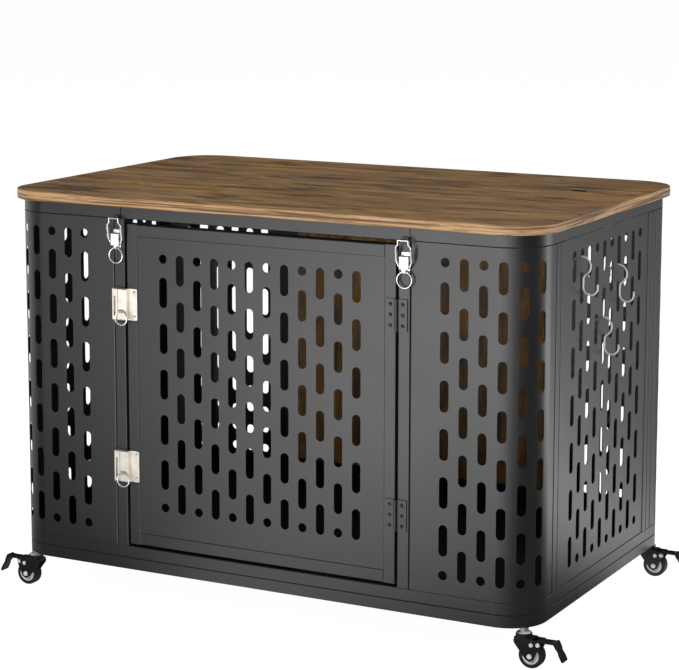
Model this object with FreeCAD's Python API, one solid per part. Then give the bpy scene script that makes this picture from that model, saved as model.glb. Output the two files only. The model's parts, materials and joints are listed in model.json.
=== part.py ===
import FreeCAD, Part
import math
import os
from FreeCAD import Vector

# Furniture-style dog crate on casters. Millimetres. Origin on the floor under the middle of the
# crate; +X to the right seen from the front, +Y to the back, +Z up. The front face is at -Y.

# ---------------------------------------------------------------- driving dimensions
BODY_W = 950.0          # outside width of the tube frame
BODY_D = 600.0          # outside depth of the tube frame
CORNER_R = 63.0         # outside radius of the vertical corners
TUBE = 20.0             # square steel tube
TUBE_WALL = 1.2
TUBE_EDGE_R = 1.5       # rounded long edges of the tubes
SHEET = 1.5             # perforated sheet steel
CASTER_H = 62.0         # floor to the underside of the frame
WALL_H = 548.0          # height of the perforated walls
LID_GAP = 0.6           # lid frame above the walls
BOARD_T = 16.0
BOARD_OVERHANG = 12.0
BOARD_EDGE_R = 1.5
SIDE_TUBE = 18.0        # width of the side posts and stiles
SIDE_POST_Y = 217.0     # outer edge of a side post, from the middle
DOORWAY_HALF = 248.5    # half the clear width between the door posts
DOOR_GAP = 4.0          # beside the door
DOOR_GAP_BOTTOM = 5.0
DOOR_GAP_TOP = 8.0
PANEL_RECESS = 1.0      # flat sheets sit this far behind the tube faces
SLOT_W = 15.0
SLOT_L = 50.0
SLOT_PITCH = 75.7       # slot to slot, up the column
COLUMN_PITCH = 32.0     # column to column
FIT = 0.06              # radial running fit of pins
CLEAR = 0.3             # gap between pieces that move past each other

# ---------------------------------------------------------------- levels and faces
Z_BASE = CASTER_H
Z_SILL = Z_BASE + TUBE
Z_WALL = Z_SILL + TUBE
Z_RIM = Z_WALL + WALL_H
Z_WALL_TOP = Z_RIM - LID_GAP
Z_BOARD = Z_RIM + TUBE
Z_TOP = Z_BOARD + BOARD_T
HALF_W = BODY_W / 2
HALF_D = BODY_D / 2
POST_OUT = DOORWAY_HALF + TUBE
STILE_Y = SIDE_POST_Y - SIDE_TUBE
PANEL_Y = STILE_Y - SIDE_TUBE
DOOR_HALF = DOORWAY_HALF - DOOR_GAP
DOOR_IN = DOOR_HALF - TUBE
Z_DOOR = Z_WALL + DOOR_GAP_BOTTOM
Z_DOOR_TOP = Z_RIM - DOOR_GAP_TOP

os.makedirs("parts", exist_ok=True)


def save(node, solids):
    """Write one node: a list of separate solids."""
    shape = solids[0] if len(solids) == 1 else Part.makeCompound(solids)
    shape.exportStep("parts/" + node + ".step")


def box(x0, y0, z0, x1, y1, z1):
    return Part.makeBox(x1 - x0, y1 - y0, z1 - z0, Vector(x0, y0, z0))


def rod(start, end, radius):
    """A round bar between two points."""
    start = Vector(*start)
    end = Vector(*end)
    return Part.makeCylinder(radius, (end - start).Length, start, end - start)


def ring(centre, radius, wire, axis=(0, 1, 0)):
    """A closed wire ring."""
    return Part.makeTorus(radius, wire, Vector(*centre), Vector(*axis))


def bent_wire(points, radius):
    """Round wire through a list of points, with ball-rounded corners."""
    shape = rod(points[0], points[1], radius)
    for here, there in zip(points[1:-1], points[2:]):
        shape = shape.fuse([Part.makeSphere(radius, Vector(*here)), rod(here, there, radius)])
    return shape.removeSplitter()


def prism(outline, direction):
    """Extrude a closed outline of points."""
    points = [Vector(*p) for p in outline]
    return Part.Face(Part.makePolygon(points + points[:1])).extrude(Vector(*direction))


def rounded_outline(half_w, half_d, radius, z):
    """Closed rectangle wire with round corners."""
    a = half_w - radius
    b = half_d - radius
    k = radius * math.sqrt(0.5)
    edges = []
    corners = [(1, -1), (1, 1), (-1, 1), (-1, -1)]
    for i, (sx, sy) in enumerate(corners):
        if sx * sy < 0:
            first = Vector(sx * a, sy * half_d, z)
            last = Vector(sx * half_w, sy * b, z)
        else:
            first = Vector(sx * half_w, sy * b, z)
            last = Vector(sx * a, sy * half_d, z)
        middle = Vector(sx * (a + k), sy * (b + k), z)
        edges.append((first, middle, last))
    wire = []
    for i, (first, middle, last) in enumerate(edges):
        wire.append(Part.Arc(first, middle, last).toShape())
        wire.append(Part.makeLine(last, edges[(i + 1) % len(edges)][0]))
    return Part.Wire(wire)


def rounded_slab(half_w, half_d, radius, z0, z1):
    face = Part.Face(rounded_outline(half_w, half_d, radius, z0))
    return face.extrude(Vector(0, 0, z1 - z0))


def tube_section(width, height):
    """Cross-section of a square tube with rounded outer edges, centred in the XY plane."""
    outer = Part.Face(rounded_outline(width / 2, height / 2, TUBE_EDGE_R, 0))
    w = TUBE_WALL
    return outer.cut(Part.makePlane(width - 2 * w, height - 2 * w, Vector(w - width / 2, w - height / 2, 0)))


def square_tube(x0, y0, z0, x1, y1, z1, axis):
    """Hollow tube filling the given box, open at both ends along the axis 'x', 'y' or 'z'."""
    size = Vector(x1 - x0, y1 - y0, z1 - z0)
    middle = Vector(x0 + x1, y0 + y1, z0 + z1) / 2
    if axis == "x":
        section = tube_section(size.y, size.z)
        section.rotate(Vector(), Vector(1, 1, 1), 120)
        run = Vector(size.x, 0, 0)
    elif axis == "y":
        section = tube_section(size.x, size.z)
        section.rotate(Vector(), Vector(1, 0, 0), 90)
        run = Vector(0, size.y, 0)
    else:
        section = tube_section(size.x, size.y)
        run = Vector(0, 0, size.z)
    section.translate(middle - run / 2)
    return section.extrude(run)


def frame_ring(z0):
    """Square-tube ring: four straight tubes and four bends."""
    z1 = z0 + TUBE
    a = HALF_W - CORNER_R
    b = HALF_D - CORNER_R
    pieces = []
    for s in (-1, 1):
        y0, y1 = sorted((s * HALF_D, s * (HALF_D - TUBE)))
        x0, x1 = sorted((s * HALF_W, s * (HALF_W - TUBE)))
        pieces.append(square_tube(-a, y0, z0, a, y1, z1, "x"))
        pieces.append(square_tube(x0, -b, z0, x1, b, z1, "y"))
    up = Vector(0, 0, 1)
    section = tube_section(TUBE, TUBE)
    section.rotate(Vector(), Vector(1, 0, 0), 90)
    section.translate(Vector(CORNER_R - TUBE / 2, 0, z0 + TUBE / 2))
    bend = section.revolve(Vector(), up, 90)
    for i, (sx, sy) in enumerate([(1, 1), (-1, 1), (-1, -1), (1, -1)]):
        piece = bend.copy()
        piece.rotate(Vector(), up, 90 * i)
        piece.translate(Vector(sx * a, sy * b, 0))
        pieces.append(piece)
    return pieces


def drill(solids, points, radius, z0, z1):
    """Round vertical holes through whichever solids they meet."""
    cutters = Part.makeCompound([rod((x, y, z0), (x, y, z1), radius) for x, y in points])
    return [s.cut(cutters) for s in solids]


def slot_cutter(length):
    """A full-round slot standing upright, cut along +Y, centred on the origin."""
    radius = SLOT_W / 2
    reach = 8 * SHEET
    half = length / 2 - radius
    top = rod((0, -reach, half), (0, reach, half), radius)
    if half <= 0:
        return top
    bottom = rod((0, -reach, -half), (0, reach, -half), radius)
    return top.fuse([bottom, box(-radius, -reach, -half, radius, reach, half)]).removeSplitter()


ROUND_HOLE = slot_cutter(SLOT_W)
LONG_SLOT = slot_cutter(SLOT_L)

# A column is either slots only, or a round hole at each end with slots half a pitch lower.
WALL_SLOTS = 7
WALL_FIRST = 46.3          # rim line to the middle of the first slot
WALL_HOLE = 28.8           # rim line to the first round hole
DOOR_SLOTS = 6
DOOR_FIRST = 78.3
DOOR_HOLE = 60.8


def column(kind, first, hole, count):
    """Cutters of one column as (cutter, height) pairs."""
    if kind == "slots":
        return [(LONG_SLOT, Z_RIM - first - SLOT_PITCH * k) for k in range(count)]
    offset = SLOT_PITCH / 2
    cuts = [(LONG_SLOT, Z_RIM - first - offset - SLOT_PITCH * k) for k in range(count - 1)]
    last = 2 * first + SLOT_PITCH * (count - 1) - hole
    return cuts + [(ROUND_HOLE, Z_RIM - hole), (ROUND_HOLE, Z_RIM - last)]


def placed(cutter, x, y, z, turn=0.0):
    piece = cutter.copy()
    piece.rotate(Vector(), Vector(0, 0, 1), turn)
    piece.translate(Vector(x, y, z))
    return piece


def wall_column(kind):
    return column(kind, WALL_FIRST, WALL_HOLE, WALL_SLOTS)


# ---------------------------------------------------------------- base and sill frames
CASTER_OUT = 4.5           # stems stand this far outside the middle of the corner tube
CASTER_X = HALF_W - CORNER_R + (CORNER_R - TUBE / 2) * math.sqrt(0.5) + CASTER_OUT
CASTER_Y = HALF_D - CORNER_R + (CORNER_R - TUBE / 2) * math.sqrt(0.5)
CASTERS = {"front_left": (-1, -1), "front_right": (1, -1), "back_left": (-1, 1), "back_right": (1, 1)}
STEM_R = 4.0
BOLT_R = 3.0
BOLT_HEAD_R = 5.0
BOLT_HEAD_H = 4.0
CROSSBAR_X = 160.0

post_centres = []
for sx in (-1, 1):
    for sy in (-1, 1):
        post_centres.append((sx * (DOORWAY_HALF + TUBE / 2), sy * (HALF_D - TUBE / 2)))
        post_centres.append((sx * (HALF_W - TUBE / 2), sy * (SIDE_POST_Y - SIDE_TUBE / 2)))
caster_points = [(sx * CASTER_X, sy * CASTER_Y) for sx, sy in CASTERS.values()]

base = frame_ring(Z_BASE)
base = drill(base, caster_points, STEM_R + FIT, Z_BASE - 1, Z_BASE + TUBE / 2)
base = drill(base, post_centres, BOLT_HEAD_R + 0.5, Z_BASE - 1, Z_BASE + TUBE / 2)
base = drill(base, post_centres, BOLT_R + FIT, Z_BASE + TUBE / 2, Z_SILL + 1)
for sx in (-1, 1):
    bar_y = HALF_D - TUBE
    x0 = sx * CROSSBAR_X - TUBE / 2
    base.append(square_tube(x0, -bar_y, Z_BASE, x0 + TUBE, bar_y, Z_SILL, "y"))
save("base_frame", base)

sill = drill(frame_ring(Z_SILL), post_centres, BOLT_R + FIT, Z_SILL - 1, Z_WALL + 1)
save("sill_frame", sill)

bolts = []
for x, y in post_centres:
    head_top = Z_SILL - TUBE_WALL
    head = rod((x, y, head_top - BOLT_HEAD_H), (x, y, head_top), BOLT_HEAD_R)
    socket = Part.Face(Part.makePolygon([
        Vector(x + 2.9 * math.cos(math.radians(a)), y + 2.9 * math.sin(math.radians(a)),
               head_top - BOLT_HEAD_H) for a in range(0, 361, 60)])).extrude(Vector(0, 0, 2.5))
    shank = rod((x, y, head_top), (x, y, Z_WALL + 12), BOLT_R)
    bolts.append(head.cut(socket).fuse(shank))
save("frame_bolts", bolts)

# ---------------------------------------------------------------- floor tray
# A floor sheet with a low wall welded round it in straight and curved strips.
TRAY_GAP = 1.0
TRAY_WALL = 1.2
tray_w = HALF_W - TUBE - TRAY_GAP
tray_d = HALF_D - TUBE - TRAY_GAP
tray_r = CORNER_R - TUBE - TRAY_GAP
tray_floor = Z_SILL + TRAY_WALL
tray_top = Z_WALL - 2
wall = rounded_slab(tray_w, tray_d, tray_r, tray_floor, tray_top)
wall = wall.cut(rounded_slab(tray_w - TRAY_WALL, tray_d - TRAY_WALL, tray_r - TRAY_WALL,
                             tray_floor - 1, tray_top + 1))
straight_x = tray_w - tray_r
straight_y = tray_d - tray_r
far = HALF_W + 10
tray = [rounded_slab(tray_w, tray_d, tray_r, Z_SILL, tray_floor)]
for x0, x1 in ((-far, -straight_x), (-straight_x, straight_x), (straight_x, far)):
    for y0, y1 in ((-far, -straight_y), (-straight_y, straight_y), (straight_y, far)):
        tray += wall.common(box(x0, y0, Z_SILL, x1, y1, Z_WALL)).Solids
save("floor_tray", tray)

# ---------------------------------------------------------------- corner panels
# One sheet goes from a door or back post, round the corner, to a side post. Both of its upright
# edges fold inward and lie against the posts.
FLANGE = 14.0
FOLD_R = 2.5
SEAM = 0.4                 # the fold stands this far off the post
EDGE_X = POST_OUT + SEAM
EDGE_Y = SIDE_POST_Y + SEAM
CORNER_COLUMNS = 6
FIRST_COLUMN_X = 327.0


def corner_panel():
    """The front right panel; the other three are mirror images."""
    a = HALF_W - CORNER_R
    b = HALF_D - CORNER_R
    k = math.sqrt(0.5)
    f = FOLD_R * (1 - k)

    def line(p, q):
        return Part.makeLine(Vector(p[0], p[1], Z_WALL), Vector(q[0], q[1], Z_WALL))

    def arc(p, m, q):
        return Part.Arc(*[Vector(v[0], v[1], Z_WALL) for v in (p, m, q)]).toShape()

    outer = [
        line((EDGE_X, -HALF_D + FLANGE), (EDGE_X, -HALF_D + FOLD_R)),
        arc((EDGE_X, -HALF_D + FOLD_R), (EDGE_X + f, -HALF_D + f), (EDGE_X + FOLD_R, -HALF_D)),
        line((EDGE_X + FOLD_R, -HALF_D), (a, -HALF_D)),
        arc((a, -HALF_D), (a + CORNER_R * k, -b - CORNER_R * k), (HALF_W, -b)),
        line((HALF_W, -b), (HALF_W, -EDGE_Y - FOLD_R)),
        arc((HALF_W, -EDGE_Y - FOLD_R), (HALF_W - f, -EDGE_Y - f), (HALF_W - FOLD_R, -EDGE_Y)),
        line((HALF_W - FOLD_R, -EDGE_Y), (HALF_W - FLANGE, -EDGE_Y)),
    ]
    t = SHEET
    r = FOLD_R - t
    g = r * (1 - k)
    c = CORNER_R - t
    inner = [
        line((HALF_W - FLANGE, -EDGE_Y), (HALF_W - FLANGE, -EDGE_Y - t)),
        line((HALF_W - FLANGE, -EDGE_Y - t), (HALF_W - FOLD_R, -EDGE_Y - t)),
        arc((HALF_W - FOLD_R, -EDGE_Y - t), (HALF_W - t - g, -EDGE_Y - t - g),
            (HALF_W - t, -EDGE_Y - FOLD_R)),
        line((HALF_W - t, -EDGE_Y - FOLD_R), (HALF_W - t, -b)),
        arc((HALF_W - t, -b), (a + c * k, -b - c * k), (a, -HALF_D + t)),
        line((a, -HALF_D + t), (EDGE_X + FOLD_R, -HALF_D + t)),
        arc((EDGE_X + FOLD_R, -HALF_D + t), (EDGE_X + t + g, -HALF_D + t + g),
            (EDGE_X + t, -HALF_D + FOLD_R)),
        line((EDGE_X + t, -HALF_D + FOLD_R), (EDGE_X + t, -HALF_D + FLANGE)),
        line((EDGE_X + t, -HALF_D + FLANGE), (EDGE_X, -HALF_D + FLANGE)),
    ]
    sheet = Part.Face(Part.Wire(outer + inner)).extrude(Vector(0, 0, Z_WALL_TOP - Z_WALL))
    cutters = []
    for i in range(CORNER_COLUMNS):
        run = FIRST_COLUMN_X + i * COLUMN_PITCH
        angle = max(0.0, (run - a) / CORNER_R)
        x = min(run, a) + CORNER_R * math.sin(angle)
        y = -b - CORNER_R * math.cos(angle)
        kind = "holes" if i % 2 == 0 else "slots"
        cutters += [placed(c_, x, y, z, math.degrees(angle)) for c_, z in wall_column(kind)]
    return sheet.cut(Part.makeCompound(cutters))


front_right = corner_panel()
front_left = front_right.mirror(Vector(), Vector(1, 0, 0))
save("corner_panel_front_right", [front_right])
save("corner_panel_front_left", [front_left])
save("corner_panel_back_right", [front_right.mirror(Vector(), Vector(0, 1, 0))])
save("corner_panel_back_left", [front_left.mirror(Vector(), Vector(0, 1, 0))])

# ---------------------------------------------------------------- posts
PLUG_H = 15.0
CAP_H = 8.0
PLUG_GAP = 0.1


def post(x, y, width, depth):
    """Upright tube with a threaded foot plug and a flush cap."""
    tube = square_tube(x - width / 2, y - depth / 2, Z_WALL, x + width / 2, y + depth / 2,
                       Z_WALL_TOP, "z")
    half_x = width / 2 - TUBE_WALL - PLUG_GAP
    half_y = depth / 2 - TUBE_WALL - PLUG_GAP
    plug = box(x - half_x, y - half_y, Z_WALL, x + half_x, y + half_y, Z_WALL + PLUG_H)
    plug = plug.cut(rod((x, y, Z_WALL - 1), (x, y, Z_WALL + PLUG_H + 1), BOLT_R + FIT))
    cap = box(x - half_x, y - half_y, Z_WALL_TOP - CAP_H, x + half_x, y + half_y, Z_WALL_TOP)
    return [tube, plug, cap]


door_posts = []
back_posts = []
side_posts = []
for sx in (-1, 1):
    post_x = sx * (DOORWAY_HALF + TUBE / 2)
    door_posts += post(post_x, -HALF_D + TUBE / 2, TUBE, TUBE)
    back_posts += post(post_x, HALF_D - TUBE / 2, TUBE, TUBE)
    for sy in (-1, 1):
        side_posts += post(sx * (HALF_W - TUBE / 2), sy * (SIDE_POST_Y - SIDE_TUBE / 2), TUBE, SIDE_TUBE)
save("door_posts", door_posts)
save("back_posts", back_posts)
save("side_posts", side_posts)

# ---------------------------------------------------------------- side panels with their stiles
SIDE_COLUMNS = 10


def side_columns():
    """(kind, y) of each column, front to back, starting with slots."""
    start = -(SIDE_COLUMNS - 1) / 2 * COLUMN_PITCH
    return [("slots" if i % 2 == 0 else "holes", start + i * COLUMN_PITCH)
            for i in range(SIDE_COLUMNS)]


def side_panel(side):
    out = HALF_W - PANEL_RECESS
    x0, x1 = sorted((side * out, side * (out - SHEET)))
    sheet = box(x0, -PANEL_Y, Z_WALL, x1, PANEL_Y, Z_WALL_TOP)
    cutters = []
    for kind, y in side_columns():
        cutters += [placed(c, side * out, y, z, 90) for c, z in wall_column(kind)]
    solids = [sheet.cut(Part.makeCompound(cutters))]
    t0, t1 = sorted((side * HALF_W, side * (HALF_W - TUBE)))
    for sy in (-1, 1):
        y0, y1 = sorted((sy * PANEL_Y, sy * STILE_Y))
        solids.append(square_tube(t0, y0, Z_WALL, t1, y1, Z_WALL_TOP, "z"))
    return solids


save("side_panel_left", side_panel(-1))
save("side_panel_right", side_panel(1))

# ---------------------------------------------------------------- back board between two rails
BACK_RAIL_H = 24.0
BACK_BOARD_T = 12.0
BACK_BOARD_RECESS = 5.0
rail_y0 = HALF_D - TUBE
rail_top = Z_WALL + BACK_RAIL_H
rail_low = Z_WALL_TOP - TUBE
rails = [
    square_tube(-DOORWAY_HALF, rail_y0, Z_WALL, DOORWAY_HALF, HALF_D, rail_top, "x"),
    square_tube(-DOORWAY_HALF, rail_y0, rail_low, DOORWAY_HALF, HALF_D, Z_WALL_TOP, "x"),
]
save("back_rails", rails)
board_y1 = HALF_D - BACK_BOARD_RECESS
save("back_board", [box(-DOORWAY_HALF, board_y1 - BACK_BOARD_T, rail_top,
                        DOORWAY_HALF, board_y1, rail_low)])

# ---------------------------------------------------------------- lid: table top on a tube ring
SCREW_R = 2.0
SCREW_HEAD_R = 4.0
SCREW_HEAD_H = 2.0
SCREW_DEPTH = 12.0
GROMMET = (374.0, 124.0)   # cable slot towards the back right corner
GROMMET_HALF_L = 11.0
GROMMET_HALF_W = 7.0
LINER_WALL = 1.5
LINER_HALF_L = GROMMET_HALF_L + 1.5
LINER_HALF_W = GROMMET_HALF_W + 1.5
LINER_LIP_T = 1.0          # the lip lies flush in a rebate

screw_points = []
for sy in (-1, 1):
    for x in (-370.0, -125.0, 125.0, 370.0):
        screw_points.append((x, sy * (HALF_D - TUBE / 2)))
for sx in (-1, 1):
    screw_points.append((sx * (HALF_W - TUBE / 2), 0.0))

rim = drill(frame_ring(Z_RIM), screw_points, SCREW_HEAD_R + 0.5, Z_RIM - 1, Z_RIM + TUBE / 2)
rim = drill(rim, screw_points, SCREW_R + FIT, Z_RIM + TUBE / 2, Z_BOARD + 1)
save("rim_frame", rim)

board = rounded_slab(HALF_W + BOARD_OVERHANG, HALF_D + BOARD_OVERHANG, CORNER_R + BOARD_OVERHANG,
                     Z_BOARD, Z_TOP)
board = board.makeFillet(BOARD_EDGE_R, [e for e in board.Edges if e.BoundBox.ZLength < 1e-6])
board = board.cut(box(GROMMET[0] - GROMMET_HALF_L, GROMMET[1] - GROMMET_HALF_W, Z_BOARD - 1,
                      GROMMET[0] + GROMMET_HALF_L, GROMMET[1] + GROMMET_HALF_W, Z_TOP + 1))
board = board.cut(box(GROMMET[0] - LINER_HALF_L - PLUG_GAP, GROMMET[1] - LINER_HALF_W - PLUG_GAP,
                      Z_TOP - LINER_LIP_T, GROMMET[0] + LINER_HALF_L + PLUG_GAP,
                      GROMMET[1] + LINER_HALF_W + PLUG_GAP, Z_TOP + 1))
board = drill([board], screw_points, SCREW_R + FIT, Z_BOARD - 1, Z_BOARD + SCREW_DEPTH + 0.5)[0]
save("top_board", [board])

screws = []
for x, y in screw_points:
    seat = Z_BOARD - TUBE_WALL
    head = rod((x, y, seat - SCREW_HEAD_H), (x, y, seat), SCREW_HEAD_R)
    slit = box(x - 3, y - 0.5, seat - SCREW_HEAD_H - 1, x + 3, y + 0.5, seat - SCREW_HEAD_H + 1)
    shank = rod((x, y, seat), (x, y, Z_BOARD + SCREW_DEPTH), SCREW_R)
    screws.append(head.cut(slit).fuse(shank))
save("board_screws", screws)

gap = PLUG_GAP
liner = box(GROMMET[0] - GROMMET_HALF_L + gap, GROMMET[1] - GROMMET_HALF_W + gap, Z_BOARD,
            GROMMET[0] + GROMMET_HALF_L - gap, GROMMET[1] + GROMMET_HALF_W - gap, Z_TOP - LINER_LIP_T / 2)
lip = box(GROMMET[0] - LINER_HALF_L, GROMMET[1] - LINER_HALF_W, Z_TOP - LINER_LIP_T,
          GROMMET[0] + LINER_HALF_L, GROMMET[1] + LINER_HALF_W, Z_TOP)
bore = box(GROMMET[0] - GROMMET_HALF_L + LINER_WALL, GROMMET[1] - GROMMET_HALF_W + LINER_WALL,
           Z_BOARD - 1, GROMMET[0] + GROMMET_HALF_L - LINER_WALL,
           GROMMET[1] + GROMMET_HALF_W - LINER_WALL, Z_TOP + 2)
save("cable_grommet", [liner.fuse(lip).cut(bore).removeSplitter()])

# ---------------------------------------------------------------- butt hinges
HINGE_L = 50.0
KNUCKLES = 5
KNUCKLE_R = 2.8
PIN_R = 1.5
LEAF_T = 2.0
LEAF_W = 18.0
HINGE_OFF = 3.5            # hinge axis in front of the face it is screwed to
KNUCKLE_SPAN = HINGE_L / KNUCKLES


def hinge_leaf(side, with_pin):
    """Leaf lying on the plane y = 0, axis along Z at y = -HINGE_OFF, leaf towards side * X."""
    inner = KNUCKLE_R + CLEAR
    x0, x1 = sorted((side * inner, side * LEAF_W))
    leaf = box(x0, -LEAF_T, -HINGE_L / 2, x1, 0, HINGE_L / 2)
    for z in (-HINGE_L / 3, 0, HINGE_L / 3):
        x = side * (LEAF_W + inner) / 2
        leaf = leaf.fuse(Part.makeSphere(3.4, Vector(x, 1.4 - LEAF_T, z)).common(
            box(x - 4, -LEAF_T - 3, z - 4, x + 4, -LEAF_T / 2, z + 4)))
    first = 0 if with_pin else 1
    for k in range(first, KNUCKLES, 2):
        z0 = -HINGE_L / 2 + k * KNUCKLE_SPAN + CLEAR / 2
        z1 = z0 + KNUCKLE_SPAN - CLEAR
        a, b = sorted((0, side * (inner + 1)))
        arm = box(a, -LEAF_T, z0, b, 0, z1)
        leaf = leaf.fuse([rod((0, -HINGE_OFF, z0), (0, -HINGE_OFF, z1), KNUCKLE_R), arm])
    pin_z = HINGE_L / 2 - CLEAR / 2
    radius = PIN_R if with_pin else PIN_R + FIT
    pin = rod((0, -HINGE_OFF, -pin_z), (0, -HINGE_OFF, pin_z), radius)
    if with_pin:
        return leaf.fuse(pin).removeSplitter()
    return leaf.cut(rod((0, -HINGE_OFF, -HINGE_L), (0, -HINGE_OFF, HINGE_L), radius)).removeSplitter()


DOOR_AXIS_X = DOORWAY_HALF - DOOR_GAP / 2
DOOR_HINGE_Z = [Z_BASE + 156.0, Z_BASE + 472.0]
post_leaves = []
door_leaves = []
for z in DOOR_HINGE_Z:
    for leaves, side, with_pin in ((post_leaves, 1, True), (door_leaves, -1, False)):
        leaf = hinge_leaf(side, with_pin)
        leaf.translate(Vector(DOOR_AXIS_X, -HALF_D, z))
        leaves.append(leaf)
save("door_hinge_post_leaves", post_leaves)
save("door_hinge_door_leaves", door_leaves)

LID_HINGE_X = 335.0
body_leaves = []
lid_leaves = []
for sx in (-1, 1):
    for leaves, side, with_pin in ((body_leaves, -1, True), (lid_leaves, 1, False)):
        leaf = hinge_leaf(side, with_pin)
        leaf.rotate(Vector(), Vector(0, 0, 1), 180)
        leaf.rotate(Vector(), Vector(0, 1, 0), 90)
        leaf.translate(Vector(sx * LID_HINGE_X, HALF_D, Z_RIM))
        leaves.append(leaf)
save("lid_hinge_body_leaves", body_leaves)
save("lid_hinge_lid_leaves", lid_leaves)

# ---------------------------------------------------------------- door
door_y0 = -HALF_D
door_y1 = -HALF_D + TUBE
door = []
for sx in (-1, 1):
    x0, x1 = sorted((sx * DOOR_IN, sx * DOOR_HALF))
    door.append(square_tube(x0, door_y0, Z_DOOR, x1, door_y1, Z_DOOR_TOP, "z"))
    inset = TUBE_WALL + PLUG_GAP
    for z0, z1 in ((Z_DOOR, Z_DOOR + CAP_H), (Z_DOOR_TOP - CAP_H, Z_DOOR_TOP)):
        door.append(box(x0 + inset, door_y0 + inset, z0, x1 - inset, door_y1 - inset, z1))
for z0 in (Z_DOOR, Z_DOOR_TOP - TUBE):
    door.append(square_tube(-DOOR_IN, door_y0, z0, DOOR_IN, door_y1, z0 + TUBE, "x"))
save("door_frame", door)

DOOR_COLUMNS = 12
sheet_y0 = -HALF_D + PANEL_RECESS
sheet = box(-DOOR_IN, sheet_y0, Z_DOOR + TUBE, DOOR_IN, sheet_y0 + SHEET, Z_DOOR_TOP - TUBE)
cutters = []
for i in range(DOOR_COLUMNS):
    x = (i - (DOOR_COLUMNS - 1) / 2) * COLUMN_PITCH
    kind = "holes" if i % 2 == 0 else "slots"
    for cutter, z in column(kind, DOOR_FIRST, DOOR_HOLE, DOOR_SLOTS):
        cutters.append(placed(cutter, x, sheet_y0, z))
save("door_panel", [sheet.cut(Part.makeCompound(cutters))])

# ---------------------------------------------------------------- slam latches on the door's left edge
LATCH_Z = {"lower": Z_BASE + 177.0, "upper": Z_BASE + 448.0}
LATCH_HALF_H = 26.0
LATCH_PROUD = 9.0          # front of the housing in front of the crate's face
LATCH_WALL = 1.2
LATCH_X0 = -257.0          # left edge of the housing
LATCH_X1 = -240.5          # housing meets its flange
LATCH_X2 = -DOOR_IN        # right edge of the flange
STRIKE_X0 = -POST_OUT
STRIKE_X1 = LATCH_X0 - 0.8
LUG_X = -250.0
LUG_DROP = 11.0            # ring lug below the middle of the latch
LUG_OUT = 11.0             # ring axis in front of the crate's face
RING_WIRE = 1.2
SLAM_RING_R = 11.3
LUG_HALF_T = 1.25
EYE_R = 1.6
THROW = 4.0                # bolt travel into the strike
PULL = 3.0                 # bolt travel back from rest


def out(depth):
    """Y of a point that stands this far in front of the crate's face."""
    return -HALF_D - depth


def slam_housing(z):
    low = z - LATCH_HALF_H
    high = z + LATCH_HALF_H
    shell = box(LATCH_X0, out(LATCH_PROUD), low, LATCH_X1, out(0.5), high)
    shell = shell.makeFillet(1.5, [e for e in shell.Edges if e.BoundBox.YMax < out(LATCH_PROUD) + 0.1
                                   and e.BoundBox.XLength > 1])
    hollow = box(LATCH_X0 - 1, out(LATCH_PROUD - LATCH_WALL), low + LATCH_WALL,
                 LATCH_X1 - LATCH_WALL, out(0), high - LATCH_WALL)
    window = box(LUG_X - LUG_HALF_T - THROW - 0.5, out(LATCH_PROUD + 1), z - LUG_DROP - 3.2,
                 LUG_X + LUG_HALF_T + PULL + 0.5, out(LATCH_PROUD - 3), z - LUG_DROP + 3.2)
    flange = box(LATCH_X1 - LATCH_WALL, out(1.5), low, LATCH_X2, out(0), high)
    flange = flange.makeFillet(2.5, [e for e in flange.Edges if e.BoundBox.YLength > 1
                                     and e.BoundBox.XMin > LATCH_X2 - 0.1])
    crease = box(LATCH_X1 + 1.5, out(2.3), low + 3, LATCH_X1 + 4, out(1), high - 3)
    return shell.cut(hollow).cut(window).fuse([flange, crease]).removeSplitter()


def slam_rivets(z):
    return [Part.makeSphere(3.2, Vector(LATCH_X2 - 5, out(0), z + dz)).common(
        box(LATCH_X2 - 9, out(6), z + dz - 4, LATCH_X2 - 1, out(1.5), z + dz + 4)) for dz in (-20, 20)]


def strike(z):
    low = z - LATCH_HALF_H
    high = z + LATCH_HALF_H
    block = box(STRIKE_X0, out(LATCH_PROUD), low, STRIKE_X1, out(0), high)
    block = block.makeFillet(1.2, [e for e in block.Edges if e.BoundBox.YMax < out(LATCH_PROUD) + 0.1
                                   and e.BoundBox.XMax < STRIKE_X1 - 0.1 or
                                   e.BoundBox.YMax < out(LATCH_PROUD) + 0.1 and e.BoundBox.XLength > 1])
    pocket = box(STRIKE_X0 + LATCH_WALL, out(LATCH_PROUD - LATCH_WALL), low + LATCH_WALL,
                 STRIKE_X1 + 1, out(LATCH_WALL), high - LATCH_WALL)
    slit = box(STRIKE_X0 + 3.5, out(LATCH_PROUD + 1), z - 20, STRIKE_X0 + 7, out(LATCH_PROUD - 3), z + 14)
    return block.cut(pocket).cut(slit)


def slam_bolt(z):
    body = box(LATCH_X0 + 0.5, out(6.8), z - 15, LATCH_X0 + 11.5, out(1.2), z + 9)
    nose = prism([(LATCH_X0 + 0.4, out(1.1), z - 16), (LATCH_X0 + 4, out(1.1), z - 16),
                  (LATCH_X0 + 0.4, out(3.5), z - 16)], (0, 0, 26))
    lug = box(LUG_X - LUG_HALF_T, out(LUG_OUT), z - LUG_DROP - 2.8,
              LUG_X + LUG_HALF_T, out(6), z - LUG_DROP + 2.8)
    tip = rod((LUG_X - LUG_HALF_T, out(LUG_OUT), z - LUG_DROP),
              (LUG_X + LUG_HALF_T, out(LUG_OUT), z - LUG_DROP), 2.8)
    eye = rod((LUG_X - 5, out(LUG_OUT), z - LUG_DROP), (LUG_X + 5, out(LUG_OUT), z - LUG_DROP), EYE_R)
    return body.cut(nose).fuse([lug, tip]).cut(eye).removeSplitter()


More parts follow.
